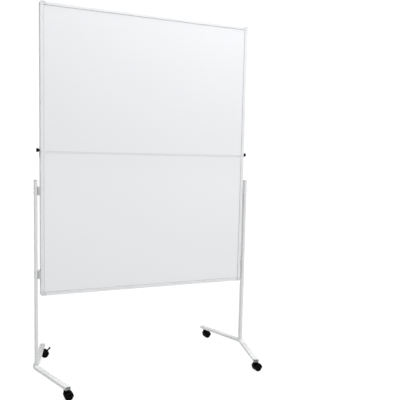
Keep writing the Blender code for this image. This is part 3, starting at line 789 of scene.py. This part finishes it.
def lock_plates(screw):
    """The CAD plates with welded seams and softened edges, and two screws in each."""
    for side_name, side in SIDES.items():
        node = f"lock_plate_{side_name}"
        set_material(node, "zinc_steel")
        plate = frame["nodes"][node]
        weld = plate.modifiers.new("Weld", "WELD")
        weld.merge_threshold = 0.00001
        soften(plate, 0.3 * MM, 2)
        low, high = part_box(node)
        face = low.x if side < 0 else high.x
        for i, way in enumerate((-0.5, 0.5)):
            up = low.z + PLATE_SCREW_UP
            at = Vector((face - side * 0.1 * MM, way * PLATE_SCREW_APART, up))
            copy_piece(f"{node}_screw_{i}", screw, pose_to(at, X * side), "zinc_steel", "stand")


def knob_profile():
    """(radius, out) from the neck's foot to the head's crown, out from the frame's side."""
    neck = [(5.6, 2.1), (6.0, 2.3), (6.3, 3.6), (7.0, 5.2), (7.9, 6.5), (8.6, 7.3)]
    head = [(9.3, 7.6), (10.1, 8.2), (10.5, 9.2), (10.6, 10.4), (10.6, 15.0), (10.4, 16.1)]
    crown = [(9.7, 16.9), (8.4, 17.3), (6.6, 17.5), (6.2, 17.3), (5.8, 16.9), (3.0, 16.75), (0.4, 16.7)]
    return millimetres(neck + head + crown)


def lock_knobs():
    """A lobed head on a neck, its stud, and a disc in its crown."""
    profile = knob_profile()
    widest = max(radius for radius, _ in profile)
    lobed_from = 0.74 * widest

    def lobed(i, angle):
        radius, out = profile[i]
        share = max(0.0, (radius - lobed_from) / (widest - lobed_from))
        dip = KNOB_SCALLOP * share * (0.5 - 0.5 * math.cos(KNOB_LOBES * angle)) ** 0.8
        return radius * (1 - dip), out

    insert = millimetres([(5.4, 16.6), (5.4, 17.0), (5.0, 17.3), (2.0, 17.45), (0.3, 17.5)])
    for side_name, side in SIDES.items():
        node = f"lock_knob_{side_name}"
        place = joint_place(f"{node}_turn")
        bm = lathe(profile, place, X * side, 120, shape=lobed)
        piece(f"{node}_head", bm, "black_plastic", node, [node])
        stud = rod(place, X * side, STUD_RADIUS, -6 * MM, 2.6 * MM, 32, 0.5 * MM)
        piece(f"{node}_stud", stud, "zinc_steel", node)
        disc = lathe(insert, place, X * side, 48)
        piece(f"{node}_insert", disc, "black_plastic", node)


# ---------------------------------------------------------------- posts and brackets


def tube(stations, width, height, radius, wall):
    """A hollow rounded tube along stations, each a point with the directions of its width and height."""
    outside = rounded(width, height, radius)
    inside = rounded(width, height, radius, wall)
    chamfer = 0.3 * MM
    lead = rounded(width, height, radius, chamfer)
    loops = [laid(outside, *station) for station in stations]
    # Both open ends have a small chamfer outside.
    loops[0] = laid(lead, *stations[0])
    loops[-1] = laid(lead, *stations[-1])
    for index, neighbour in ((0, 1), (-1, -2)):
        point, u, v = stations[index]
        step = (Vector(stations[neighbour][0]) - Vector(point)).normalized() * chamfer
        loops.insert(1 if index == 0 else len(loops) - 1, laid(outside, Vector(point) + step, u, v))
    inner = [laid(inside, *station) for station in stations]
    return loft(loops + inner[::-1], closed=True)


def stepped_cap(width, height, radius, origin, u, v, along, plug_depth, thick):
    """A cap's flange with soft edges, and the plug behind it that fits the tube."""
    fit = TUBE_WALL + JOINT_GAP
    steps = [
        (-plug_depth, fit + 1.0 * MM),
        (-plug_depth + 1.5 * MM, fit),
        (0.0, fit),
        (0.0, 0.35 * MM),
        (0.35 * MM, 0.0),
        (thick - 1.2 * MM, 0.0),
        (thick - 0.6 * MM, 0.2 * MM),
        (thick - 0.2 * MM, 0.6 * MM),
        (thick, 1.4 * MM),
    ]
    loops = []
    for reach, inset in steps:
        points = rounded(width, height, radius, inset)
        loops.append(laid(points, Vector(origin) + along * reach, u, v))
    return loft(loops)


def posts():
    """Both posts, with the weld beads at their feet and the caps on top."""
    for side_name in SIDES:
        node = f"post_{side_name}"
        low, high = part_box(node)
        centre = middle(node)
        ends = [(Vector((centre.x, centre.y, z)), X, Y) for z in (low.z, high.z)]
        size = high - low
        bm = tube(ends, size.x, size.y, POST_ROUND, TUBE_WALL)
        piece(f"{node}_tube", bm, "stand_paint", "stand", [node])
        weld_bead(f"{node}_weld", centre, low.z, size)
        cap_node = f"post_cap_{side_name}"
        rim = high.z + JOINT_GAP
        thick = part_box(cap_node)[1].z - rim
        at = Vector((centre.x, centre.y, rim))
        bm = stepped_cap(size.x, size.y, POST_ROUND, at, X, Y, Z, POST_PLUG, thick)
        piece(f"{cap_node}_moulding", bm, "bracket_plastic", "stand", [cap_node])


def weld_bead(name, centre, bottom, size):
    """A rippled fillet weld where a post stands on its foot."""
    outline = rounded(size.x, size.y, POST_ROUND, -0.1 * MM, steps=20)
    flat_x = size.x / 2 - POST_ROUND
    flat_y = size.y / 2 - POST_ROUND
    ripple, ripple_pitch, root = 0.10, 1.9, 0.6 * MM
    section = ((1.0, 0.0), (0.72, 0.45), (0.30, 0.85))
    loops = []
    for i, (a, b) in enumerate(densify(outline, 0.8 * MM)):
        round_x = max(-flat_x, min(flat_x, a))
        round_y = max(-flat_y, min(flat_y, b))
        normal = Vector((a - round_x, b - round_y, 0)).normalized()
        bulge = WELD * (1 + ripple * math.sin(ripple_pitch * i))
        base = Vector((centre.x + a, centre.y + b, bottom - 0.2 * MM))
        inside = base - normal * root
        bead = [base + normal * bulge * out + Z * bulge * up for out, up in section]
        loops.append([inside, *bead, inside + Z * bulge * 1.05])
    piece(name, loft(loops, closed=True), "stand_paint", "stand")


def densify(outline, step):
    """The closed outline with points no further apart than a step."""
    points = []
    for first, second in zip(outline, outline[1:] + outline[:1]):
        gap = Vector(second) - Vector(first)
        count = max(1, round(gap.length / step))
        points += [tuple(Vector(first) + gap * i / count) for i in range(count)]
    return points


def brackets(bolt):
    """Four blocks between posts and board, each with two bolts through the post."""
    radii = [3 * MM, 3 * MM, 2 * MM, 1 * MM, 1 * MM]
    for side_name, side in SIDES.items():
        post_low, post_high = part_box(f"post_{side_name}")
        post_face = post_low.x if side < 0 else post_high.x
        for level in ("upper", "lower"):
            node = f"bracket_{side_name}_{level}"
            low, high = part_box(node)
            points = [
                (low.y, high.z),
                (high.y, high.z),
                (high.y, low.z),
                (low.y + BRACKET_SLANT, low.z),
                (low.y, low.z + BRACKET_SLANT),
            ]
            outline = fillet(points, radii, 8)
            bm = prism(outline, (low.x, 0, 0), Y, Z, X * (high.x - low.x))
            piece(f"{node}_block", bm, "bracket_plastic", "stand", [node], BRACKET_EDGE)
            for i, share in enumerate(BRACKET_BOLTS_UP):
                at = Vector((post_face, 0, low.z + share * (high.z - low.z)))
                name = f"{node}_bolt_{i}"
                copy_piece(name, bolt, pose_to(at, X * side), "zinc_steel", "stand")


# ---------------------------------------------------------------- V feet


def arm_direction(side, end):
    """The way that a foot's front or back arm points from the bend."""
    return Vector((-side * math.sin(FOOT_SWEEP), end * math.cos(FOOT_SWEEP), 0))


def foot_stations(side, height):
    """Points along the bent tube, from its front end to its back end, with the way out of the bend."""
    vertex = Vector((side * FOOT_VERTEX_X, 0, height))
    centre = vertex - X * side * FOOT_BEND / math.cos(FOOT_SWEEP)
    stations = [(vertex + arm_direction(side, -1) * FOOT_ARM, bend_normal(side, -1), Z)]
    steps = 24
    for i in range(steps + 1):
        way = 2 * i / steps - 1
        stations.append((centre + bend_normal(side, way) * FOOT_BEND, bend_normal(side, way), Z))
    stations.append((vertex + arm_direction(side, 1) * FOOT_ARM, bend_normal(side, 1), Z))
    return stations


def bend_normal(side, way):
    """The way out of the bend, from one arm's (-1) to the other's (1)."""
    angle = way * FOOT_SWEEP
    return Vector((side * math.cos(angle), math.sin(angle), 0))


def feet():
    """Both bent feet, with a cap in each open end."""
    for side_name, side in SIDES.items():
        node = f"foot_{side_name}"
        low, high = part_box(node)
        height = high.z - low.z
        level = (low.z + high.z) / 2
        bm = tube(foot_stations(side, level), FOOT_WIDTH, height, FOOT_ROUND, TUBE_WALL)
        piece(f"{node}_tube", bm, "stand_paint", "stand", [node])
        for end_name, end in ENDS.items():
            cap_node = f"foot_cap_{side_name}_{end_name}"
            along = arm_direction(side, end)
            tip = Vector((side * FOOT_VERTEX_X, 0, level)) + along * (FOOT_ARM + JOINT_GAP)
            size = (FOOT_WIDTH, height, FOOT_ROUND)
            ways = (bend_normal(side, end), Z, along)
            bm = stepped_cap(*size, tip, *ways, FOOT_PLUG, FOOT_CAP_THICK)
            piece(f"{cap_node}_moulding", bm, "end_plastic", "stand", [cap_node])


# ---------------------------------------------------------------- castors, round the swivel's origin


def hood_section(angle):
    """The hood's section at an angle round the axle, as (radius, across) points of a closed loop."""
    first, last = HOOD_ENDS
    from_end = min(angle - first, last - angle)
    lip_depth, lip_degrees, crown, steps = 0.9 * MM, 10, 1.5 * MM, 12
    lip = lip_depth * max(0.0, 1 - from_end / lip_degrees)
    outer, inner = [], []
    for i in range(steps + 1):
        share = -1 + 2 * i / steps
        drop = crown * abs(share) ** 4
        outer.append((HOOD_RADIUS - drop - lip, share * (HOOD_HALF - 0.3 * MM)))
        inner.append((HOOD_INSIDE, share * (HOOD_HALF - 0.9 * MM)))
    return outer + [(HOOD_EDGE, HOOD_HALF)] + inner[::-1] + [(HOOD_EDGE, -HOOD_HALF)]


def hood_skin():
    """The hood over both wheels, from behind the tyres' foot to their front."""
    first, last = HOOD_ENDS
    steps = 45
    loops = []
    for i in range(steps + 1):
        angle = first + (last - first) * i / steps
        spoke = Vector((math.cos(math.radians(angle)), 0, math.sin(math.radians(angle))))
        axle = Vector((TRAIL, 0, AXLE_HEIGHT))
        loops.append([axle + spoke * radius + Y * across for radius, across in hood_section(angle)])
    return loft(loops)


def housing_mesh(braked):
    """Hood, web, boss and axle of a castor as one moulding."""
    axle = (TRAIL, AXLE_HEIGHT)
    first, last = HOOD_ENDS
    web = arc(axle, WEB_RADIUS, first, last, 45) + arc(axle, *WEB_UNDER, 18)
    joined = [
        prism(web, (0, -WEB_HALF, 0), X, Z, Y * 2 * WEB_HALF),
        block((-NECK_HALF, -WEB_HALF, AXLE_HEIGHT), (NECK_HALF, WEB_HALF, NECK_TOP)),
        rod((0, 0, 0), Z, BOSS_RADIUS, *BOSS_ENDS, 64, 0.8 * MM),
        rod((TRAIL, 0, AXLE_HEIGHT), Y, AXLE_RADIUS, -AXLE_HALF, AXLE_HALF, 32, 0.4 * MM),
    ]
    socket = rod((0, 0, 0), Z, SOCKET_RADIUS, SOCKET_FOOT, 60 * MM, 40)
    bm = carve(hood_skin(), joined=joined, cut=[socket])
    if braked:
        bm = lever_mount(bm)
    return shared_mesh(bm)


def lever_mount(housing):
    """A slot in the hood for the brake lever, with an ear on each side and the lever's pin."""
    hub = lever_hub()
    ears = [rod(hub, Y, LEVER_EAR_RADIUS, *span, 32, 0.4 * MM) for span in LEVER_EARS]
    pin = rod(hub, Y, LEVER_PIN, -LEVER_PIN_HALF, LEVER_PIN_HALF, 24)
    return carve(carve(housing, cut=[block(*LEVER_SLOT)]), joined=[*ears, pin])


def lever_hub():
    """The brake lever's axis, seen from the swivel."""
    back = joint_place("caster_left_back_brake_lever_press")
    swivel = joint_place("caster_left_back_swivel")
    return Vector((back.x - swivel.x, 0, back.z))


def lever_mesh():
    """A foot pedal on an arm: local X runs along it from its pin."""
    middle_x = LEVER_LENGTH - PEDAL_LENGTH / 2
    outline = rounded(PEDAL_LENGTH, PEDAL_WIDTH, 2.2 * MM)
    pedal = prism(outline, (middle_x, 0, -PEDAL_HALF_THICK), X, Y, Z * 2 * PEDAL_HALF_THICK)
    arm = block((0, -LEVER_HALF, -ARM_HALF_THICK), (middle_x, LEVER_HALF, ARM_HALF_THICK))
    hub = rod((0, 0, 0), Y, LEVER_HUB, -5 * MM, 5 * MM, 40, 0.3 * MM)
    first, pitch, half, reach = LEVER_LENGTH - 9.4 * MM, 2.9 * MM, 0.5 * MM, 5.6 * MM
    deep, above = PEDAL_HALF_THICK - 0.5 * MM, 4 * MM
    grooves = []
    for i in range(3):
        at = first + pitch * i
        grooves.append(block((at - half, -reach, deep), (at + half, reach, above)))
    bore = rod((0, 0, 0), Y, LEVER_BORE, -10 * MM, 10 * MM, 24)
    return shared_mesh(carve(pedal, joined=[arm, hub], cut=[*grooves, bore]))


def tyre_mesh():
    """A tyre with a crowned tread and a raised shoulder; local Z runs out along the axle."""
    bore_and_tread = [(15.4, 0.4), (19.0, 0.0), (20.0, 0.3), (20.6, 1.0), (20.9, 2.0), (21.0, 3.4)]
    shoulder = [(21.0, 10.2), (20.9, 11.6), (20.6, 12.8), (20.0, 13.8), (19.1, 14.4), (18.0, 14.7)]
    face = [(16.9, 14.6), (16.2, 14.2), (15.6, 13.4), (15.4, 12.6)]
    profile = millimetres(bore_and_tread + shoulder + face)
    return shared_mesh(lathe(profile, (0, 0, 0), Z, 96, closed=True))


def wheel_centre_mesh():
    """The moulded centre: a dished face with eight ribs, and a boss with the axle's bore."""
    back_and_rim = [(3.3, 0.2), (15.3, 0.2), (15.3, 12.9), (14.6, 13.1), (14.2, 12.6)]
    dish = [(13.6, 11.4), (11.0, 11.2), (8.4, 11.2)]
    boss = [(7.4, 11.6), (7.0, 12.9), (6.6, 13.4), (6.2, 13.5), (3.3, 13.5)]
    profile = millimetres(back_and_rim + dish + boss)
    ribs = 8
    ribbed = range(len(back_and_rim), len(back_and_rim + dish))

    def shape(i, angle):
        radius, out = profile[i]
        if i in ribbed:
            near = abs((angle * ribs / (2 * math.pi) + 0.5) % 1 - 0.5) * 2 * math.pi / ribs * radius
            out += 1.2 * MM * max(0.0, min(1.0, (1.3 * MM - near) / (0.5 * MM)))
        return radius, out

    return shared_mesh(lathe(profile, (0, 0, 0), Z, 192, closed=True, shape=shape))


def hub_cap_mesh():
    """A snap-in cap over the axle's end."""
    points = [(3.0, 13.6), (5.8, 13.6), (5.8, 14.0), (5.3, 14.4), (3.6, 14.65), (0.2, 14.7)]
    return shared_mesh(lathe(millimetres(points), (0, 0, 0), Z, 48))


def stem_mesh():
    """The swivel's stem, with a washer between the housing and the foot."""
    socket_end = [(3.4, 49.4), (4.0, 50.0), (4.0, 56.1)]
    washer = [(7.6, 56.1), (8.0, 56.4), (8.0, 57.4), (7.7, 57.7)]
    foot_end = [(4.0, 57.7), (4.0, 69.2), (3.2, 70.0)]
    return shared_mesh(lathe(millimetres(socket_end + washer + foot_end), (0, 0, 0), Z, 48))


def wheels(body, tyre, centre, hub_cap):
    """A castor's two wheels, each turning on its own joint."""
    for letter, way in (("a", -1), ("b", 1)):
        node = f"{body}_wheel_{letter}"
        low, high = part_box(node)
        inner = high.y if way < 0 else low.y
        hub = joint_place(f"{node}_roll")
        place = pose_to((hub.x, inner, hub.z), Y * way)
        copy_piece(f"{node}_tyre", tyre, place, "wheel_plastic", node, [node])
        copy_piece(f"{node}_centre", centre, place, "black_plastic", node)
        copy_piece(f"{node}_hub_cap", hub_cap, place, "black_plastic", node)


def casters():
    """Four castors; the two at the back have a brake lever."""
    housings = {False: housing_mesh(False), True: housing_mesh(True)}
    wheel_meshes = tyre_mesh(), wheel_centre_mesh(), hub_cap_mesh()
    stem, lever = stem_mesh(), lever_mesh()
    for side_name in SIDES:
        for end_name in ENDS:
            body = f"caster_{side_name}_{end_name}"
            at = Matrix.Translation(joint_place(f"{body}_swivel"))
            braked = end_name == "back"
            copy_piece(f"{body}_stem_pin", stem, at, "zinc_steel", "stand", [f"{body}_stem"])
            housing = f"{body}_housing"
            copy_piece(f"{housing}_moulding", housings[braked], at, "black_plastic", body, [housing])
            wheels(body, *wheel_meshes)
            if braked:
                node = f"{body}_brake_lever"
                turn = Matrix.Rotation(-LEVER_ANGLE, 4, "Y")
                place = Matrix.Translation(joint_place(f"{node}_press")) @ turn
                copy_piece(f"{node}_pedal", lever, place, "black_plastic", node, [node])


# ---------------------------------------------------------------- camera, floor and light


def camera():
    """The camera, about 3 m in front of the board and to its left."""
    data = bpy.data.cameras.new("camera")
    made = bpy.data.objects.new("camera", data)
    bpy.context.scene.collection.objects.link(made)
    yaw = Matrix.Rotation(-math.radians(CAMERA_YAW), 4, "Z")
    pitch = Matrix.Rotation(math.pi / 2 - math.radians(CAMERA_PITCH), 4, "X")
    roll = Matrix.Rotation(math.radians(CAMERA_ROLL), 4, "Z")
    made.matrix_world = Matrix.Translation(CAMERA_AT) @ yaw @ pitch @ roll
    data.lens = CAMERA_LENS
    data.shift_x, data.shift_y = CAMERA_SHIFT
    data.clip_start = 0.05
    data.clip_end = 200
    bpy.context.scene.camera = made


def stage_material():
    """A pale floor that glows a little more away from the object, so that it runs into the backdrop."""
    made = bpy.data.materials.new("studio_floor")
    made.use_nodes = True
    tree = made.node_tree
    shader = tree.nodes["Principled BSDF"]
    shader.inputs["Base Color"].default_value = (FLOOR_TONE, FLOOR_TONE, FLOOR_TONE, 1)
    shader.inputs["Roughness"].default_value = 0.9
    shader.inputs["Specular IOR Level"].default_value = 0.0
    shader.inputs["Emission Color"].default_value = (1, 1, 1, 1)
    place = add_node(tree, "TexCoord", {}).outputs["Object"]
    away = add_node(tree, "VectorMath", {0: place}, operation="LENGTH").outputs["Value"]
    glow = spread(tree, away, *FLOOR_GLOW, *FLOOR_GLOW_REACH)
    wire(tree, shader.inputs["Emission Strength"], glow)
    return made


def floor():
    """A wide disc under the castors."""
    bm = bmesh.new()
    bmesh.ops.create_circle(bm, cap_ends=True, segments=96, radius=FLOOR_RADIUS)
    made = object_from("floor", bm)
    made.data.materials.append(stage_material())


def softbox(name, place, target, size, power):
    """A rectangular light that faces its target."""
    data = bpy.data.lights.new(name, "AREA")
    data.shape = "RECTANGLE"
    data.size, data.size_y = size
    data.energy = power
    made = bpy.data.objects.new(name, data)
    bpy.context.scene.collection.objects.link(made)
    made.matrix_world = pose_to(place, Vector(place) - Vector(target))


def sky():
    """A white backdrop that lights the object less than it shows."""
    world = bpy.data.worlds.new("studio")
    world.use_nodes = True
    tree = world.node_tree
    seen = add_node(tree, "LightPath", {}).outputs["Is Camera Ray"]
    strength = spread(tree, seen, SKY_LIGHT, SKY_SHOWN, 0.0, 1.0)
    background = tree.nodes["Background"]
    background.inputs["Color"].default_value = (1, 1, 1, 1)
    wire(tree, background.inputs["Strength"], strength)
    bpy.context.scene.world = world


def studio():
    """Backdrop, floor and two softboxes."""
    bpy.context.scene.view_settings.view_transform = "Standard"
    sky()
    floor()
    softbox("key", *KEY_LIGHT)
    softbox("top", *TOP_LIGHT)


# ---------------------------------------------------------------- the whole


def build():
    """Every piece, from the board down to the castors."""
    small_screw = fastener(2.4 * MM, 1.1 * MM, "cross")
    bolt = fastener(4.8 * MM, 2.6 * MM, "hex")
    board_materials()
    rails()
    corner_caps(small_screw)
    painted_shade_seals()
    rail_plugs()
    hinges(small_screw)
    lock_plates(small_screw)
    lock_knobs()
    posts()
    brackets(bolt)
    feet()
    casters()


camera()
studio()
build()

bpy.context.view_layer.update()
